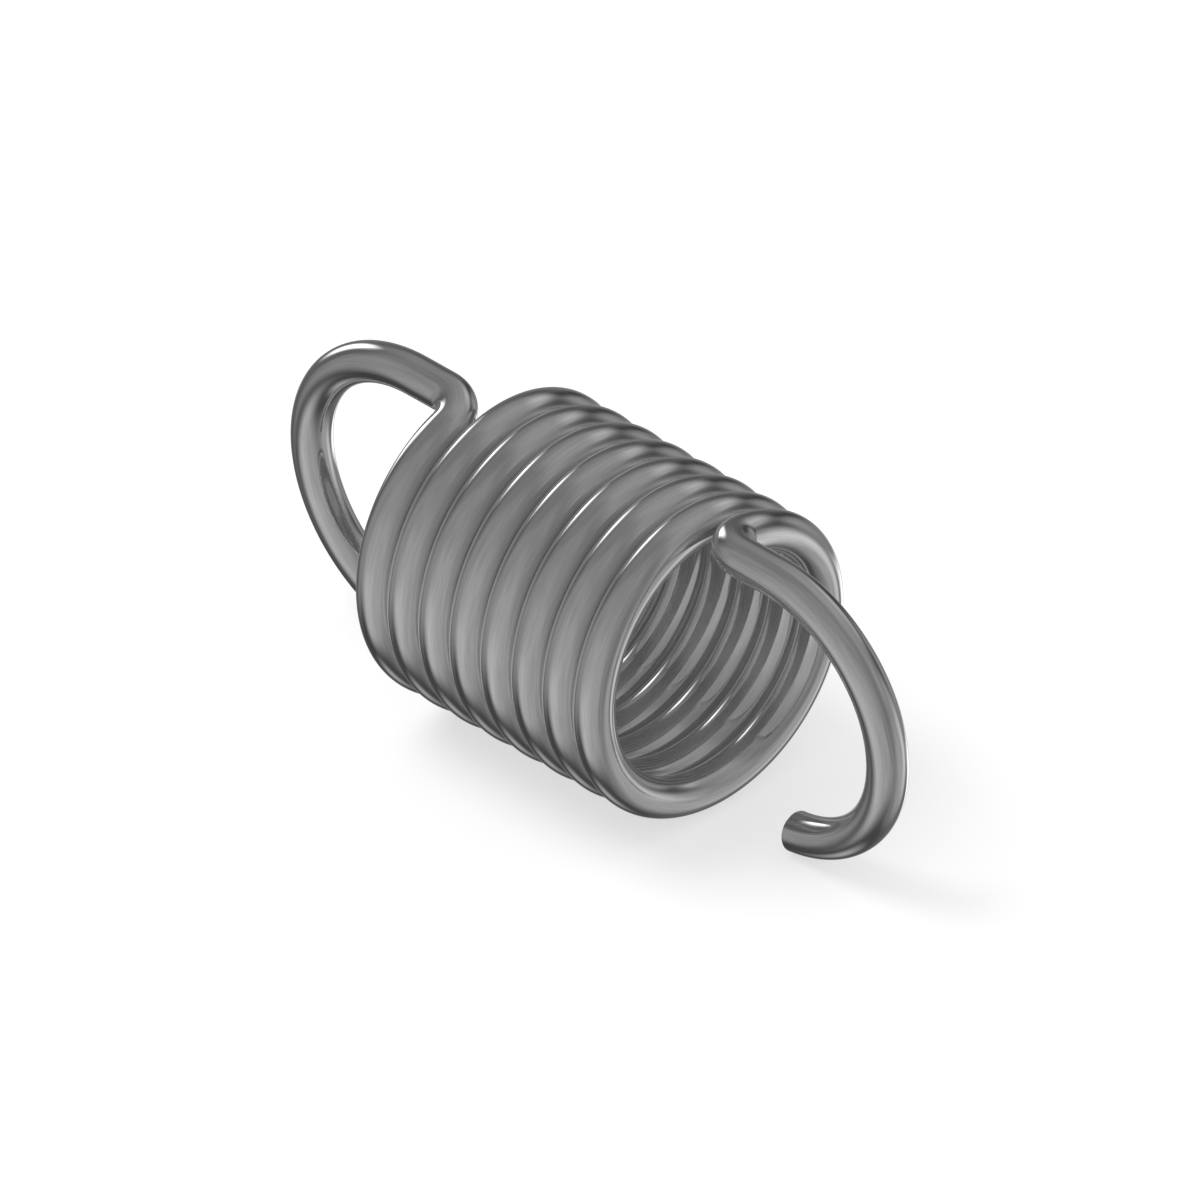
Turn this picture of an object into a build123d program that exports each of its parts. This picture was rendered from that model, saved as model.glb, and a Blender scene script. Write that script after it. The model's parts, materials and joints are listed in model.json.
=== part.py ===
from build123d import *
from math import atan, cos, degrees, hypot, pi, radians, sin
import os

# Extension spring wound from one piece of round wire, in millimetres.
# The close-wound coil lies along X with its middle at the origin. A hook stands at each end in
# the upright plane through the coil's axis: the wire leaves the top of its last turn in a tight
# bend, runs straight out along X and curls down round the axis to a square-cut end.

# Driving dimensions
wire_diameter = 2.5
coil_outer_diameter = 20.0
coil_turns = 8  # full turns from the top of one end to the top of the other
turn_gap = 0.03  # air between neighbouring turns of the unloaded spring
bend_inner_radius = 0.95  # inside of the tight bend between the coil and a hook
leg_length = 2.3  # straight wire between that bend and the curl
curl_angle = 172.75  # degrees that a hook curls through, just short of a half circle

# Coil sizes that follow from them
wire_radius = wire_diameter / 2
coil_radius = coil_outer_diameter / 2 - wire_radius
pitch = wire_diameter + turn_gap
climb_angle = atan(pitch / (2 * pi * coil_radius))

# The coil stops short of the top by the angle that leaves room for the bend, so the leg comes
# out over the axis. The curl's radius is the leg's height, so the hook is centred on the axis.
bend_radius = bend_inner_radius + wire_radius
bend_reach = bend_radius * (1 - sin(climb_angle))
stop_angle = degrees(atan(bend_reach / coil_radius))
curl_radius = hypot(coil_radius, bend_reach)
half_coil_angle = coil_turns * 180 - stop_angle
half_coil_length = pitch * half_coil_angle / 360


def from_axis(wound_angle):
    """Direction from the axis to the wire, after winding on by so many degrees from the middle.

    The front end of the coil, half of its turns on from the middle, is the one that is on top.
    """
    past_front = radians(wound_angle - coil_turns * 180)
    return Vector(0, -sin(past_front), cos(past_front))


def hook_edges(side, coil_end, heading):
    """Centre line of one hook, from the coil's end to the cut end of the wire.

    The bend lies in the plane of the wire's heading and the axis, and the curl in the plane of
    the axis and the leg. Both planes turn with the end of the coil.
    """
    outward = Vector(side, 0, 0)
    with BuildLine(Plane(origin=coil_end, x_dir=heading, z_dir=heading.cross(outward))) as shank:
        bend = JernArc((0, 0), (1, 0), bend_radius, 90 - degrees(climb_angle))
        PolarLine(bend @ 1, leg_length, direction=bend % 1)
    curl_start = shank.edges().sort_by(Axis.X)[-1 if side > 0 else 0] @ 1
    upward = from_axis(side * coil_turns * 180)
    with BuildLine(Plane(origin=curl_start, x_dir=outward, z_dir=outward.cross(upward))) as curl:
        JernArc((0, 0), (1, 0), curl_radius, -curl_angle)
    return [*shank.edges(), *curl.edges()]


# The coil's centre line is a right-hand helix along X. A helix is always made along Z, so it is
# made on its own and then placed by the plane of its back end.
back_end = Plane(origin=(-half_coil_length, 0, 0), x_dir=from_axis(-half_coil_angle), z_dir=(1, 0, 0))
coil = back_end.location * Helix(pitch, 2 * half_coil_length, coil_radius)

with BuildPart() as spring_wire:
    with BuildLine() as centre_line:
        add(hook_edges(-1, coil @ 0, (coil % 0) * -1))
        add(coil)
        add(hook_edges(1, coil @ 1, coil % 1))
    with BuildSketch(Plane(origin=centre_line.line @ 0, z_dir=centre_line.line % 0)):
        Circle(wire_radius)
    sweep()

spring_wire.part.label = "spring_wire"

os.makedirs("parts", exist_ok=True)
export_step(spring_wire.part, "parts/spring_wire.step")

wire_length = centre_line.wire().length
print("wire length", round(wire_length, 2))
print("volume against section times length", spring_wire.part.volume / (pi * wire_radius**2 * wire_length))
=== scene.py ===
import json
import bpy
import numpy as np
from mathutils import Matrix, Vector


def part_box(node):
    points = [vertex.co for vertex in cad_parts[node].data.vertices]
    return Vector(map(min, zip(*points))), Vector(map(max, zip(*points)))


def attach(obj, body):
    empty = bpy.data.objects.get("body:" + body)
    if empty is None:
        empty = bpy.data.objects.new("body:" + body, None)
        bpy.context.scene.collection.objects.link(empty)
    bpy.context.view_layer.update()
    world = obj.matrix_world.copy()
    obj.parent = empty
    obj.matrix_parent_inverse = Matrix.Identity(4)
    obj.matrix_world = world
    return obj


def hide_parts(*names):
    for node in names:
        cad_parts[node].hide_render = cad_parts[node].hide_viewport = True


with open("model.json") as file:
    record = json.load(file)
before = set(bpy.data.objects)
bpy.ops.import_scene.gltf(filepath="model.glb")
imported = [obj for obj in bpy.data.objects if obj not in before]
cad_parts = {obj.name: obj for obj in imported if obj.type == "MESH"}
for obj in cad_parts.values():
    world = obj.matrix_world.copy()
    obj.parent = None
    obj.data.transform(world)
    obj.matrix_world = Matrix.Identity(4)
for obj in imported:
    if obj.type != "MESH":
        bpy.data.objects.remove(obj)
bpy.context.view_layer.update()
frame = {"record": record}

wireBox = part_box("spring_wire")
mountAt = {m["name"]: m["pos_m"] for m in frame["record"]["mounts"]}
wireSpan = np.subtract(wireBox[1], wireBox[0])
print("scene: frame loaded, spring", np.round(wireSpan * 1000, 2), "mm")


# the wire, metres and degrees
wire = {
    "diameter": 0.0025,
    "coilOuter": wireSpan[1],
    "turns": 8,  # full turns from the top of one end to the top of the other
    "gap": 0.00003,  # air between neighbouring turns
    "bendInside": 0.00095,  # inside radius of the tight bend between coil and hook
    "curlCentre": mountAt["front_hook_eye"][0],  # along x from the middle of the coil
    "curl": 172.75,  # degrees that a hook curls through
    "cutBreak": 0.00006,  # radius of the rounded edge of a cut end
    "breakSteps": 4,
    "faceRings": (0.8, 0.55, 0.3),  # rings on a flat cut face, as shares of its radius
    "stepsPerTurn": 138,
    "stepsPerBend": 36,
    "stepsPerLeg": 8,
    "stepsPerCurl": 168,
    "around": 64,
}


# One half of the wire's centre line, from the middle of the coil to the cut end of the front hook.
# coil:  p(a) = (pitch a / 2 pi, -R sin(a - pi turns), R cos(a - pi turns))
# bend:  p(b) = end + rb (sin b t + (1 - cos b) u), a circle from the coil's tangent t towards x
# leg:   p(s) = end + s x
# curl:  p(c) = centre + Rh (sin c x + cos c z), a circle about the coil's axis
# Beside each point goes the tangent and a normal that doesn't twist along the wire.
def halfCentreLine(size):
    wireRadius = size["diameter"] / 2
    coilRadius = size["coilOuter"] / 2 - wireRadius
    rise = (size["diameter"] + size["gap"]) / (2 * np.pi)  # along x for each radian
    climb = np.arctan(rise / coilRadius)
    bendRadius = size["bendInside"] + wireRadius
    reach = bendRadius * (1 - np.sin(climb))
    curlRadius = np.hypot(coilRadius, reach)
    wound = size["turns"] * np.pi - np.arctan(reach / coilRadius)
    x, y, z = np.eye(3)

    a = np.linspace(0, wound, int(size["stepsPerTurn"] * wound / (2 * np.pi)))[:, None]
    past = a - size["turns"] * np.pi
    outward = np.cos(past) * z - np.sin(past) * y
    coil = rise * a * x + coilRadius * outward
    coilTangent = rise * x - coilRadius * (np.sin(past) * z + np.cos(past) * y)
    coilTangent /= np.hypot(rise, coilRadius)

    t, keep = coilTangent[-1], outward[-1]
    u = x - (x @ t) * t
    u /= np.linalg.norm(u)
    b = np.linspace(0, np.pi / 2 - climb, size["stepsPerBend"] + 1)[1:, None]
    bend = coil[-1] + bendRadius * (np.sin(b) * t + (1 - np.cos(b)) * u)
    bendTangent = np.cos(b) * t + np.sin(b) * u

    s = np.linspace(0, size["curlCentre"] - bend[-1, 0], size["stepsPerLeg"] + 1)[1:, None]
    leg = bend[-1] + s * x
    c = np.linspace(0, np.radians(size["curl"]), size["stepsPerCurl"] + 1)[1:, None]
    spoke = np.sin(c) * x + np.cos(c) * z
    curl = size["curlCentre"] * x + curlRadius * spoke
    curlTangent = np.cos(c) * x - np.sin(c) * z
    curlNormal = keep[1] * y + keep[2] * spoke

    straight = len(bend) + len(leg)
    points = np.vstack([coil, bend, leg, curl])
    tangents = np.vstack([coilTangent, bendTangent, np.tile(x, (len(leg), 1)), curlTangent])
    normals = np.vstack([outward, np.tile(keep, (straight, 1)), curlNormal])
    return points, tangents, normals


# The whole centre line: the front half, and the same half turned half round about z for the back.
def centreLine(size):
    points, tangents, normals = halfCentreLine(size)
    halfTurn = np.array([-1, -1, 1])
    points = np.vstack([(points * halfTurn)[:0:-1], points])
    tangents = np.vstack([-(tangents * halfTurn)[:0:-1], tangents])
    normals = np.vstack([(normals * halfTurn)[:0:-1], normals])
    return points, tangents, normals


# Rings that close a cut end: radius and depth behind the tip. A quarter circle rounds the edge,
# r = rw - e (1 - cos q) and d = e (1 - sin q), and flat rings follow on the face.
def cutEndRings(size):
    q = np.linspace(0, np.pi / 2, size["breakSteps"] + 1)[1:]
    rim = size["diameter"] / 2 - size["cutBreak"] * (1 - np.cos(q))
    depth = size["cutBreak"] * (1 - np.sin(q))
    flat = rim[-1] * np.array(size["faceRings"])
    return np.concatenate([rim, flat]), np.concatenate([depth, np.zeros(len(flat))])


# Faces of a closed tube: quads between neighbouring rings, and a fan to one point past either end.
def tubeFaces(rings, around):
    j = np.arange(around)
    k = (j + 1) % around
    ring = np.arange(rings - 1)[:, None] * around
    quads = np.stack([ring + j, ring + k, ring + around + k, ring + around + j], axis=-1)
    top = (rings - 1) * around
    pole = np.full(around, rings * around)
    fans = np.vstack([np.stack([k, j, pole], axis=-1), np.stack([j + top, k + top, pole + 1], axis=-1)])
    return quads.reshape(-1, 4), fans


# A round section carried along the path: p(i, j) = c(i) + r(i) (cos th(j) n(i) + sin th(j) (t x n)(i)).
# Beside each point go its place on the same wire laid out straight, and 1 where it lies on a cut face.
def springWire(size):
    points, tangents, normals = centreLine(size)
    endRadius, depth = cutEndRings(size)
    added = ((len(depth), len(depth)), (0, 0))
    startWay, endWay = -tangents[0], tangents[-1]
    startRings = points[0] - startWay * depth[::-1, None]
    endRings = points[-1] - endWay * depth[:, None]
    points[0] -= startWay * size["cutBreak"]
    points[-1] -= endWay * size["cutBreak"]
    radius = np.full(len(points), size["diameter"] / 2)
    radius = np.concatenate([endRadius[::-1], radius, endRadius])
    points = np.vstack([startRings, points, endRings])
    tangents = np.pad(tangents, added, mode="edge")
    normals = np.pad(normals, added, mode="edge")

    th = np.linspace(0, 2 * np.pi, size["around"], endpoint=False)[None, :, None]
    across = np.cross(tangents, normals)
    section = np.cos(th) * normals[:, None] + np.sin(th) * across[:, None]
    grid = points[:, None] + radius[:, None, None] * section
    vertices = np.vstack([grid.reshape(-1, 3), points[:1], points[-1:]])

    steps = np.linalg.norm(np.diff(points, axis=0), axis=1)
    along = np.concatenate([[0], np.cumsum(steps)])
    rod = np.empty(grid.shape)
    rod[..., 0] = radius[:, None] * np.cos(th[..., 0])
    rod[..., 1] = radius[:, None] * np.sin(th[..., 0])
    rod[..., 2] = along[:, None]
    rod = np.vstack([rod.reshape(-1, 3), [[0, 0, along[0]], [0, 0, along[-1]]]])
    onFace = len(size["faceRings"]) + 1
    face = np.zeros(grid.shape[:2])
    face[:onFace] = 1
    face[-onFace:] = 1
    face = np.concatenate([face.ravel(), [1, 1]])
    quads, fans = tubeFaces(*grid.shape[:2])
    return vertices, quads, fans, rod, face


def meshPiece(name, vertices, quads, fans, attributes):
    mesh = bpy.data.meshes.new(name)
    corners = np.concatenate([quads.ravel(), fans.ravel()])
    sides = np.concatenate([np.full(len(quads), 4), np.full(len(fans), 3)])
    mesh.vertices.add(len(vertices))
    mesh.vertices.foreach_set("co", vertices.astype(np.float32).ravel())
    mesh.loops.add(len(corners))
    mesh.loops.foreach_set("vertex_index", corners.astype(np.int32))
    mesh.polygons.add(len(sides))
    starts = np.concatenate([[0], np.cumsum(sides)[:-1]])
    mesh.polygons.foreach_set("loop_start", starts.astype(np.int32))
    mesh.polygons.foreach_set("use_smooth", np.ones(len(sides), bool))
    for key, values in attributes.items():
        kind, field = ("FLOAT_VECTOR", "vector") if values.ndim == 2 else ("FLOAT", "value")
        layer = mesh.attributes.new(key, kind, "POINT")
        layer.data.foreach_set(field, values.astype(np.float32).ravel())
    mesh.update(calc_edges=True)
    mesh.validate()
    piece = bpy.data.objects.new(name, mesh)
    bpy.context.scene.collection.objects.link(piece)
    return piece


vertices, quads, fans, rod, face = springWire(wire)
spring = meshPiece("spring_wire_drawn", vertices, quads, fans, {"rod": rod, "cutFace": face})
reach = np.ptp(vertices, axis=0)
print("scene: wire", len(quads) * 2 + len(fans), "triangles, reach", np.round(reach * 1000, 2), "mm")


# node helpers
def addNode(tree, kind, inputs=None, **settings):
    node = tree.nodes.new(kind)
    for key, value in settings.items():
        setattr(node, key, value)
    for key, value in (inputs or {}).items():
        if isinstance(value, bpy.types.NodeSocket):
            tree.links.new(value, node.inputs[key])
        else:
            node.inputs[key].default_value = value
    return node


def mathNode(tree, operation, a, b):
    return addNode(tree, "ShaderNodeMath", {0: a, 1: b}, operation=operation).outputs[0]


def mixValue(tree, factor, a, b):
    return addNode(tree, "ShaderNodeMix", {"Factor": factor, "A": a, "B": b}).outputs["Result"]


def mixColor(tree, factor, a, b):
    return addNode(tree, "ShaderNodeMix", {"Factor": factor, 6: a, 7: b}, data_type="RGBA").outputs[2]


def newMaterial(name):
    material = bpy.data.materials.new(name)
    material.use_nodes = True
    material.node_tree.nodes.clear()
    return material


def newGroup(name, inputs, outputs):
    group = bpy.data.node_groups.new(name, "ShaderNodeTree")
    for label, kind, value in inputs:
        socket = group.interface.new_socket(label, in_out="INPUT", socket_type=kind)
        socket.default_value = value
    for label, kind in outputs:
        group.interface.new_socket(label, in_out="OUTPUT", socket_type=kind)
    return group, addNode(group, "NodeGroupInput"), addNode(group, "NodeGroupOutput")


# steel of the wire: drawn through a die, so its marks run along it, and cut square at both ends
steel = {
    "darkTone": (0.48, 0.48, 0.48, 1),
    "lightTone": (0.62, 0.62, 0.62, 1),
    "markRate": (6500, 450),  # per metre, round the wire and along it
    "markDetail": 5,
    "stainRate": (500, 110),
    "stainDetail": 2,
    "stainShare": 0.35,  # of the tone, the rest follows the marks
    "smoothest": 0.07,
    "roughest": 0.11,
    "markDepth": 0.0000005,
    "shearRate": (1500, 14000, 0),  # the fine ridges that the shears leave on a cut face
    "shearDetail": 3,
    "shearDepth": 0.000012,
    "cutRoughness": 0.36,
    # painted reflection: a lighter tone for steel seen in a reflection, which brightens the reflections
    # between turns
    "paintedReflectionTone": (0.77, 0.77, 0.77, 1),  # steel that is itself seen in steel
    "seenRoughness": 0.3,
    "lastDepth": 2.5,  # past this many reflections the steel only glows
    # painted light: the glow of steel met past lastDepth reflections, standing in for the light left out
    "paintedGlow": (0.2, 0.2, 0.2, 1),
    "noiseRoughness": 0.6,
    "noiseSpan": (0.3, 0.7),  # what the noise reaches, stretched to 0 to 1
}
black = (0, 0, 0, 1)


# Noise drawn out along the wire: the wire laid out straight, at one rate round it and another along it.
def alongWireGroup(look):
    inputs = [
        ("Rod", "NodeSocketVector", (0, 0, 0)),
        ("Round", "NodeSocketFloat", 1000),
        ("Along", "NodeSocketFloat", 50),
        ("Detail", "NodeSocketFloat", 3),
    ]
    group, given, out = newGroup("alongWire", inputs, [("Value", "NodeSocketFloat")])
    around = given.outputs["Round"]
    rate = addNode(group, "ShaderNodeCombineXYZ", {"X": around, "Y": around, "Z": given.outputs["Along"]})
    drawn = addNode(group, "ShaderNodeVectorMath", {
        0: given.outputs["Rod"], 1: rate.outputs[0]}, operation="MULTIPLY")
    noise = addNode(group, "ShaderNodeTexNoise", {
        "Vector": drawn.outputs[0], "Scale": 1, "Detail": given.outputs["Detail"],
        "Roughness": look["noiseRoughness"]})
    spread = addNode(group, "ShaderNodeMapRange", {
        "Value": noise.outputs[0], "From Min": look["noiseSpan"][0], "From Max": look["noiseSpan"][1]})
    group.links.new(spread.outputs[0], out.inputs["Value"])
    return group


def alongWire(tree, group, rod, rate, detail, label):
    return addNode(tree, "ShaderNodeGroup", {
        "Rod": rod, "Round": rate[0], "Along": rate[1], "Detail": detail},
        node_tree=group, label=label).outputs[0]


def steelMaterial(look):
    material = newMaterial("spring_steel_drawn")
    tree = material.node_tree
    rod = addNode(tree, "ShaderNodeAttribute", attribute_name="rod").outputs["Vector"]
    cut = addNode(tree, "ShaderNodeAttribute", attribute_name="cutFace").outputs["Fac"]
    group = alongWireGroup(look)
    marks = alongWire(tree, group, rod, look["markRate"], look["markDetail"], "drawing marks")
    stain = alongWire(tree, group, rod, look["stainRate"], look["stainDetail"], "slow change of tone")
    shear = addNode(tree, "ShaderNodeVectorMath", {0: rod, 1: look["shearRate"]}, operation="MULTIPLY")
    shear = addNode(tree, "ShaderNodeTexNoise", {
        "Vector": shear.outputs[0], "Scale": 1, "Detail": look["shearDetail"]}).outputs[0]

    tone = mixValue(tree, look["stainShare"], marks, stain)
    tone = mixColor(tree, tone, look["darkTone"], look["lightTone"])
    roughness = addNode(tree, "ShaderNodeMapRange", {
        "Value": marks, "To Min": look["smoothest"], "To Max": look["roughest"]}).outputs[0]
    roughness = mixValue(tree, cut, roughness, look["cutRoughness"])
    groove = mathNode(tree, "MULTIPLY", marks, look["markDepth"])
    ridge = mathNode(tree, "MULTIPLY", shear, look["shearDepth"])
    bump = addNode(tree, "ShaderNodeBump", {"Height": mixValue(tree, cut, groove, ridge), "Distance": 1})

    # painted light: light crosses from turn to turn many times, so once a ray has been reflected more than
    # lastDepth times the steel it meets turns black and glows instead, a painted glow that stands in for the
    # light left out
    ray = addNode(tree, "ShaderNodeLightPath")
    inSteel = ray.outputs["Is Glossy Ray"]
    last = mathNode(tree, "GREATER_THAN", ray.outputs["Glossy Depth"], look["lastDepth"])
    # painted reflection: steel seen in a reflection takes the lighter tone and a rougher finish
    tone = mixColor(tree, inSteel, tone, look["paintedReflectionTone"])
    roughness = mixValue(tree, inSteel, roughness, look["seenRoughness"])
    shader = addNode(tree, "ShaderNodeBsdfPrincipled", {
        "Base Color": mixColor(tree, last, tone, black), "Metallic": 1, "Roughness": roughness,
        "Normal": bump.outputs[0], "Emission Color": mixColor(tree, last, black, look["paintedGlow"]),
        "Emission Strength": 1})
    addNode(tree, "ShaderNodeOutputMaterial", {"Surface": shader.outputs[0]})
    return material


spring.data.materials.append(steelMaterial(steel))
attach(spring, "root")
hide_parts("spring_wire")
print("scene: wire in its drawn steel")


# a round tent of cloth that only the steel reflects: toward is longitude and latitude in degrees,
# size is half the width and half the height in degrees, level 1 is white, and a patch covers
# those before it
tent = {
    "radius": 1.0,
    "columns": 64,
    "rows": 32,
    "cloth": 0.2,
    "fade": 0.15,  # over this share of the radius a wide patch fades out, so it never shows behind
    "patches": {
        "ceiling": {"toward": (77.6, 54.6), "turn": 22, "size": (47, 61), "soft": 0.92, "level": 0.48},
        "upLeft": {"toward": (-159.6, 31), "turn": 5, "size": (21.4, 71.7), "soft": 0.19, "level": 0.31},
        "sideTop": {"toward": (46, -1.5), "turn": -89, "size": (15, 15.2), "soft": 0.52, "level": 0.83},
        "frontWall": {"toward": (-77, -13), "turn": -36, "size": (68, 57), "soft": 0.35, "level": 0.55},
        "frontCore": {"toward": (-108.6, -31.6), "turn": -59, "size": (21, 37), "soft": 0.61, "level": 0.74},
        "sideWall": {"toward": (18.7, -30), "turn": -8, "size": (18.3, 58), "soft": 0.37, "level": 0.55},
        "sideCore": {"toward": (52.3, -30.4), "turn": 2, "size": (9.1, 21.3), "soft": 0.98, "level": 1},
        "topBack": {"toward": (96.4, 15.3), "turn": -30, "size": (16.8, 12.8), "soft": 1, "level": 1.39},
        "backDark": {"toward": (94.6, 9.6), "turn": 3, "size": (45.6, 13.8), "soft": 1, "level": 0.05},
        "backBlob": {"toward": (109.6, -2.3), "turn": -61, "size": (14, 7.3), "soft": 0.87, "level": 0.08},
        "backSoft": {"toward": (83.5, -5.7), "turn": 70, "size": (15.7, 10), "soft": 0.77, "level": 0.43},
        "backLow": {"toward": (118.2, -38.2), "turn": 2, "size": (28, 7.4), "soft": 0.5, "level": 1.89},
        "backSpot": {"toward": (144.5, -40.3), "turn": -15, "size": (28, 14.4), "soft": 0.33, "level": 0.45},
        "frontSpot": {"toward": (-81, 37), "turn": 1, "size": (10.1, 12.2), "soft": 0.73, "level": 0.44},
        "topDark": {"toward": (113, 28.7), "turn": 2, "size": (6.9, 3.3), "soft": 1, "level": 0.46},
        "topLight": {"toward": (72.4, 26), "turn": -3, "size": (7, 4), "soft": 1, "level": 0.6},
        "roofSoft": {"toward": (-3.6, 56.4), "turn": -1, "size": (13.3, 20), "soft": 0.2, "level": 0.4},
        "leftSoft": {"toward": (-168.6, -3.5), "turn": 1, "size": (5.5, 12.3), "soft": 1, "level": 0.97},
        "sideEdge": {"toward": (-21.3, -14), "turn": 2, "size": (4.8, 18.6), "soft": 0.23, "level": 0.35},
        "leftBox": {"toward": (168.2, 7.6), "turn": -10, "size": (12, 15.6), "soft": 0.54, "level": 3.3},
        "ground": {"toward": (-170, -73.5), "turn": 23, "size": (25.4, 48.6), "soft": 0.4, "level": 0.1},
        "groundLeft": {"toward": (-144, -45.7), "turn": 56, "size": (22.7, 13.8), "soft": 1, "level": 0.08},
        "groundSpot": {"toward": (-163.4, -73.6), "turn": 16, "size": (9.2, 8.4), "soft": 1, "level": 0.58},
        "rightDark": {"toward": (0.5, 10), "turn": -3, "size": (9, 88), "soft": 0.97, "level": 0.3},
        "leftDark": {"toward": (-175, 3.2), "turn": 8, "size": (12.8, 30), "soft": 0.63, "level": 0.18},
    },
}


# One patch of the tent: rho = |(u / sin w, v / sin h)| for a direction (u, v, d) in the patch's own axes,
# and the patch covers what is behind it where rho is under 1, with an edge 2 soft wide.
def patchGroup(fade):
    inputs = [
        ("Direction", "NodeSocketVector", (0, 0, 1)),
        ("Turn", "NodeSocketVector", (0, 0, 0)),
        ("Spread", "NodeSocketVector", (1, 1, 1)),
        ("Soft", "NodeSocketFloat", 0.5),
        ("Level", "NodeSocketFloat", 1),
        ("Behind", "NodeSocketFloat", 1),
    ]
    group, given, out = newGroup("tentPatch", inputs, [("Level", "NodeSocketFloat")])
    own = addNode(group, "ShaderNodeMapping", {
        "Vector": given.outputs["Direction"], "Rotation": given.outputs["Turn"],
        "Scale": given.outputs["Spread"]}, vector_type="TEXTURE")
    part = addNode(group, "ShaderNodeSeparateXYZ", {0: own.outputs[0]})
    flat = addNode(group, "ShaderNodeCombineXYZ", {"X": part.outputs["X"], "Y": part.outputs["Y"]})
    rho = addNode(group, "ShaderNodeVectorMath", {0: flat.outputs[0]}, operation="LENGTH")
    cover = addNode(group, "ShaderNodeMapRange", {
        "Value": rho.outputs["Value"], "From Min": mathNode(group, "ADD", 1, given.outputs["Soft"]),
        "From Max": mathNode(group, "SUBTRACT", 1, given.outputs["Soft"])}, interpolation_type="SMOOTHSTEP")
    nearSide = addNode(group, "ShaderNodeMapRange", {"Value": part.outputs["Z"], "From Max": fade})
    both = mathNode(group, "MULTIPLY", cover.outputs[0], nearSide.outputs[0])
    mixed = mixValue(group, both, given.outputs["Behind"], given.outputs["Level"])
    group.links.new(mixed, out.inputs["Level"])
    return group


# the turn of a patch's own axes: d looks at the patch, u lies level before its turn, v = d x u
def patchTurn(toward, turn):
    lon, lat, roll = np.radians([*toward, turn])
    ahead = Vector((np.cos(lat) * np.cos(lon), np.cos(lat) * np.sin(lon), np.sin(lat)))
    east = Vector((-np.sin(lon), np.cos(lon), 0))
    north = ahead.cross(east)
    side = east * np.cos(roll) + north * np.sin(roll)
    return Matrix((side, ahead.cross(side), ahead)).transposed().to_euler("XYZ")


def tentMaterial(plan):
    material = newMaterial("studio_tent")
    tree = material.node_tree
    place = addNode(tree, "ShaderNodeTexCoord")
    toward = addNode(tree, "ShaderNodeVectorMath", {0: place.outputs["Object"]}, operation="NORMALIZE")
    group = patchGroup(plan["fade"])
    level = plan["cloth"]
    for name, patch in plan["patches"].items():
        wide, high = np.sin(np.radians(patch["size"]))
        level = addNode(tree, "ShaderNodeGroup", {
            "Direction": toward.outputs[0], "Turn": patchTurn(patch["toward"], patch["turn"]),
            "Spread": (wide, high, 1), "Soft": patch["soft"], "Level": patch["level"],
            "Behind": level}, node_tree=group, label=name).outputs[0]
    glow = addNode(tree, "ShaderNodeEmission", {"Strength": level})
    addNode(tree, "ShaderNodeOutputMaterial", {"Surface": glow.outputs[0]})
    return material


# a ball on longitude and latitude: p(a, b) = R (cos b cos a, cos b sin a, sin b)
def ballPiece(name, radius, columns, rows):
    a = np.linspace(0, 2 * np.pi, columns, endpoint=False)[None]
    b = np.linspace(-np.pi / 2, np.pi / 2, rows + 1)[1:-1, None]
    grid = radius * np.stack([np.cos(b) * np.cos(a), np.cos(b) * np.sin(a), np.sin(b) + 0 * a], axis=-1)
    vertices = np.vstack([grid.reshape(-1, 3), [[0, 0, -radius], [0, 0, radius]]])
    return meshPiece(name, vertices, *tubeFaces(rows - 1, columns), {})


tentBall = ballPiece("studio_tent", tent["radius"], tent["columns"], tent["rows"])
tentBall.data.materials.append(tentMaterial(tent))
for ray in ("camera", "diffuse", "transmission", "volume_scatter", "shadow"):
    setattr(tentBall, "visible_" + ray, False)
print("scene: tent of", len(tent["patches"]), "patches")


# floor, world and lamp
studio = {
    "floorHalf": 3.0,
    "floorColor": (0.92, 0.92, 0.92, 1),
    "floorRoughness": 0.9,
    "paleShare": 0.6,  # plain white in what the camera sees of the floor, which keeps its shadow pale
    "worldFill": 0.85,
    "keySize": 0.6,
    "keyPower": 6.0,
    "keyFrom": (-0.45, -0.25, 0.85),
}
white = (1, 1, 1, 1)


# 1 for what the camera sees directly, in a reflection or through glass, and 0 for light that only fills
def seenShare(tree):
    ray = addNode(tree, "ShaderNodeLightPath")
    seen = mathNode(tree, "MAXIMUM", ray.outputs["Is Camera Ray"], ray.outputs["Is Glossy Ray"])
    return mathNode(tree, "MAXIMUM", seen, ray.outputs["Is Transmission Ray"])


def floorPiece(plan):
    z, half = wireBox[0][2], plan["floorHalf"]
    corners = np.array([[-half, -half, z], [half, -half, z], [half, half, z], [-half, half, z]])
    floor = meshPiece("studio_floor", corners, np.array([[0, 1, 2, 3]]), np.empty((0, 3), int), {})
    material = newMaterial("studio_floor")
    tree = material.node_tree
    shader = addNode(tree, "ShaderNodeBsdfPrincipled", {
        "Base Color": plan["floorColor"], "Roughness": plan["floorRoughness"], "Specular IOR Level": 0})
    pale = addNode(tree, "ShaderNodeEmission", {"Color": white, "Strength": 1})
    share = mathNode(tree, "MULTIPLY", seenShare(tree), plan["paleShare"])
    both = addNode(tree, "ShaderNodeMixShader", {0: share, 1: shader.outputs[0], 2: pale.outputs[0]})
    addNode(tree, "ShaderNodeOutputMaterial", {"Surface": both.outputs[0]})
    floor.data.materials.append(material)
    floor.visible_glossy = False


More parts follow.
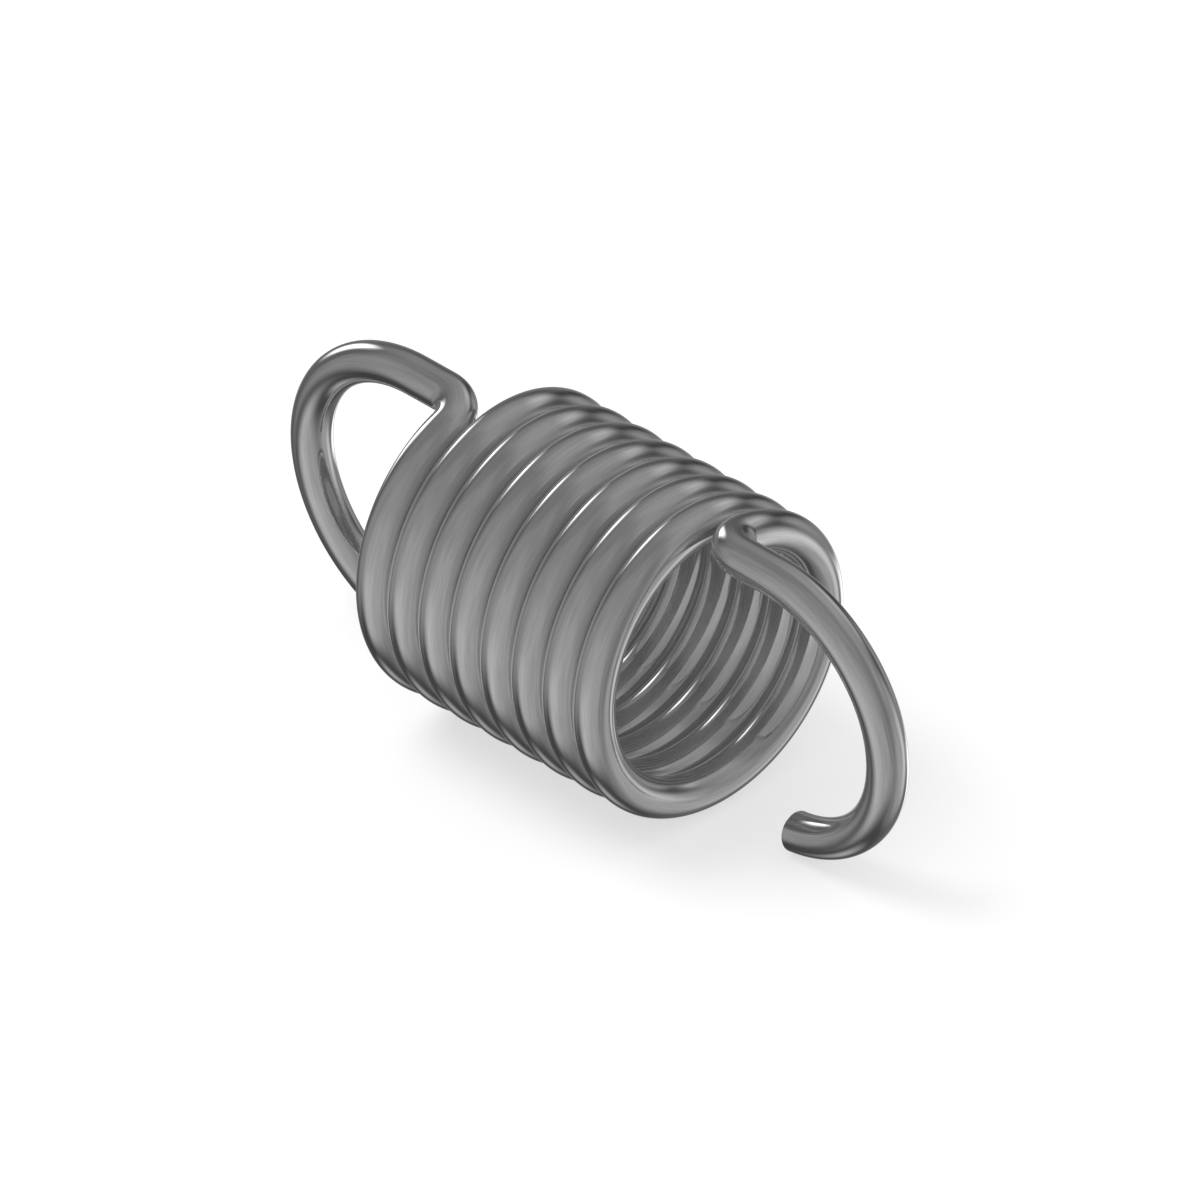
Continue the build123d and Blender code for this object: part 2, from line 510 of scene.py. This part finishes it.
def studioWorld(plan):
    world = bpy.data.worlds.new("studio")
    bpy.context.scene.world = world
    world.use_nodes = True
    tree = world.node_tree
    tree.nodes.clear()
    strength = addNode(tree, "ShaderNodeMapRange", {
        "Value": seenShare(tree), "To Min": plan["worldFill"], "To Max": 1})
    light = addNode(tree, "ShaderNodeBackground", {"Color": white, "Strength": strength.outputs[0]})
    addNode(tree, "ShaderNodeOutputWorld", {"Surface": light.outputs[0]})


def keyLamp(plan):
    data = bpy.data.lights.new("key_lamp", "AREA")
    data.shape, data.size, data.energy = "DISK", plan["keySize"], plan["keyPower"]
    lamp = bpy.data.objects.new("key_lamp", data)
    bpy.context.scene.collection.objects.link(lamp)
    lamp.location = plan["keyFrom"]
    lamp.rotation_euler = Vector(plan["keyFrom"]).to_track_quat("Z", "Y").to_euler()
    lamp.visible_glossy = False
    lamp.visible_camera = False


floorPiece(studio)
studioWorld(studio)
keyLamp(studio)


# the camera looks straight in with no perspective, as the photograph does
view = {
    "azimuth": 46.0918,
    "elevation": 36.3005,
    "roll": -2.338,
    "frameWidth": 0.069686,  # metres across the picture
    "beside": (0.0000108, -0.0000067),  # how far it stands to the right of the spring's middle and above it
    "distance": 0.4,
    "clip": (0.001, 20),
}


def studioCamera(plan):
    az, el, roll = np.radians([plan["azimuth"], plan["elevation"], plan["roll"]])
    back = Vector((np.sin(az) * np.cos(el), -np.cos(az) * np.cos(el), np.sin(el)))
    level = Vector((np.cos(az), np.sin(az), 0))
    right = level * np.cos(roll) + back.cross(level) * np.sin(roll)
    above = back.cross(right)
    place = back * plan["distance"] + right * plan["beside"][0] + above * plan["beside"][1]
    data = bpy.data.cameras.new("camera")
    data.type, data.ortho_scale = "ORTHO", plan["frameWidth"]
    data.clip_start, data.clip_end = plan["clip"]
    camera = bpy.data.objects.new("camera", data)
    turn = Matrix((right, above, back)).transposed().to_4x4()
    camera.matrix_world = Matrix.Translation(place) @ turn
    bpy.context.scene.collection.objects.link(camera)
    bpy.context.scene.camera = camera


studioCamera(view)
bpy.context.scene.view_settings.view_transform = "Standard"
print("scene: floor, world, lamp and camera set")
